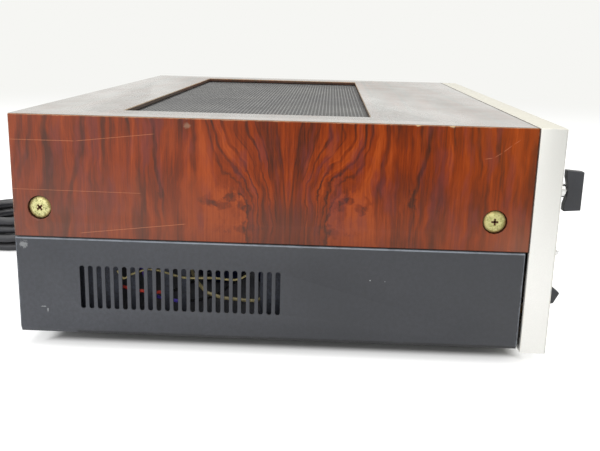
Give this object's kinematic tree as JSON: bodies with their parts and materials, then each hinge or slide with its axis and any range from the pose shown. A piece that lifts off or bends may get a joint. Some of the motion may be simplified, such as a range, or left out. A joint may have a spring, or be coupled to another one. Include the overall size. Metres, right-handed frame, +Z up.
{
  "type": "integrated amplifier",
  "caption": "Integrated stereo amplifier: veneered wooden sleeve with a recessed vent grille, slotted black lower case, deep metal front panel with knobs and levers, mains cord coiled behind.",
  "frame": {"origin": "on the floor under the feet, at the middle of the case's width and of its depth from the volume knob's face to the rear terminals", "axes": "+X along the width, to the right seen from the front; +Y from the front panel to the rear; +Z up"},
  "size_m": [0.42, 0.5596, 0.1452],
  "materials": {
    "rosewood": "glossy figured veneer",
    "black_steel": "satin black paint",
    "grille_black": "satin black paint on punched sheet",
    "satin_aluminium": "satin anodised",
    "aged_brass": "dull, mottled",
    "zinc_steel": "zinc plated",
    "black_plastic": "satin black",
    "polished_metal": "bright",
    "foot_rubber": "matt",
    "dark_aluminium": "black anodised",
    "iron_core": "laminated, varnished",
    "capacitor_sleeve": "shrunk sleeve",
    "board": "brown laminate",
    "nickel": "nickel plated",
    "brown_phenolic": "brown laminate",
    "wire_red": "insulation",
    "wire_blue": "insulation",
    "wire_yellow": "insulation",
    "cord_black": "satin black"
  },
  "bodies": {
    "case": {"amplifier_board": "board", "bottom_cover": "black_steel", "cabinet_screw_left_front": "aged_brass", "cabinet_screw_left_rear": "aged_brass", "cabinet_screw_right_front": "aged_brass", "cabinet_screw_right_rear": "aged_brass", "chassis": "zinc_steel", "control_board": "board", "cord_coil": "cord_black", "cord_run": "cord_black", "cord_tail": "cord_black", "filter_capacitor_1": "capacitor_sleeve", "filter_capacitor_2": "capacitor_sleeve", "foot_front_left": "foot_rubber", "foot_front_right": "foot_rubber", "foot_rear_left": "foot_rubber", "foot_rear_right": "foot_rubber", "front_panel": "satin_aluminium", "fuse_holder": "black_plastic", "ground_post": "nickel", "headphone_socket": "black_plastic", "heat_sink_1": "dark_aluminium", "heat_sink_2": "dark_aluminium", "input_jacks": "brown_phenolic", "mains_outlet": "brown_phenolic", "output_transistor_1": "nickel", "output_transistor_2": "nickel", "plug": "black_plastic", "power_switch": "black_plastic", "power_transformer": "iron_core", "rear_panel": "black_steel", "speaker_terminals": "black_plastic", "strain_relief": "foot_rubber", "sub_panel": "zinc_steel", "switch_board": "board", "top_grille": "grille_black", "wire_blue": "wire_blue", "wire_red": "wire_red", "wire_yellow": "wire_yellow", "wood_left_side": "rosewood", "wood_right_side": "rosewood", "wood_top": "rosewood"},
    "speaker_dial": {"speaker_knob": "black_plastic", "speaker_shaft": "polished_metal"},
    "bass_dial": {"bass_knob": "black_plastic", "bass_shaft": "polished_metal"},
    "treble_dial": {"treble_knob": "black_plastic", "treble_shaft": "polished_metal"},
    "volume_dial": {"volume_knob": "black_plastic", "volume_shaft": "polished_metal"},
    "selector_dial": {"selector_knob": "black_plastic", "selector_shaft": "polished_metal"},
    "balance_dial": {"balance_ring": "black_plastic"},
    "speaker_lever_arm": {"speaker_lever": "black_plastic"},
    "low_filter_lever_arm": {"low_filter_lever": "black_plastic"},
    "high_filter_lever_arm": {"high_filter_lever": "black_plastic"},
    "mode_lever_arm": {"mode_lever": "black_plastic"},
    "tape_lever_arm": {"tape_lever": "black_plastic"},
    "power_key": {"power_button": "polished_metal"}
  },
  "joints": [
    {"name": "speaker_turn", "type": "hinge", "parent": "case", "child": "speaker_dial", "pos_m": [-0.177, -0.15525, 0.1036], "axis": [0, 1, 0], "range_deg": [-60, 60]},
    {"name": "bass_turn", "type": "hinge", "parent": "case", "child": "bass_dial", "pos_m": [-0.1071, -0.15525, 0.1036], "axis": [0, 1, 0], "range_deg": [-150, 150]},
    {"name": "treble_turn", "type": "hinge", "parent": "case", "child": "treble_dial", "pos_m": [-0.042, -0.15525, 0.1036], "axis": [0, 1, 0], "range_deg": [-150, 150]},
    {"name": "volume_turn", "type": "hinge", "parent": "case", "child": "volume_dial", "pos_m": [0.063, -0.15525, 0.1036], "axis": [0, 1, 0], "range_deg": [-150, 150]},
    {"name": "selector_turn", "type": "hinge", "parent": "case", "child": "selector_dial", "pos_m": [0.166, -0.15525, 0.1036], "axis": [0, 1, 0], "range_deg": [-75, 75]},
    {"name": "balance_turn", "type": "hinge", "parent": "case", "child": "balance_dial", "pos_m": [0.063, -0.15525, 0.1036], "axis": [0, 1, 0], "range_deg": [-60, 60]},
    {"name": "speaker_flip", "type": "hinge", "parent": "case", "child": "speaker_lever_arm", "pos_m": [-0.177, -0.14825, 0.0271], "axis": [1, 0, 0], "range_deg": [0, 56]},
    {"name": "low_filter_flip", "type": "hinge", "parent": "case", "child": "low_filter_lever_arm", "pos_m": [-0.126, -0.14825, 0.0271], "axis": [1, 0, 0], "range_deg": [0, 56]},
    {"name": "high_filter_flip", "type": "hinge", "parent": "case", "child": "high_filter_lever_arm", "pos_m": [-0.0861, -0.14825, 0.0271], "axis": [1, 0, 0], "range_deg": [0, 56]},
    {"name": "mode_flip", "type": "hinge", "parent": "case", "child": "mode_lever_arm", "pos_m": [-0.0462, -0.14825, 0.0271], "axis": [1, 0, 0], "range_deg": [0, 56]},
    {"name": "tape_flip", "type": "hinge", "parent": "case", "child": "tape_lever_arm", "pos_m": [-0.0063, -0.14825, 0.0271], "axis": [1, 0, 0], "range_deg": [0, 56]},
    {"name": "power_push", "type": "slide", "parent": "case", "child": "power_key", "axis": [0, 1, 0], "range_m": [0, 0.003], "stiffness_N_per_m": 300}
  ]
}
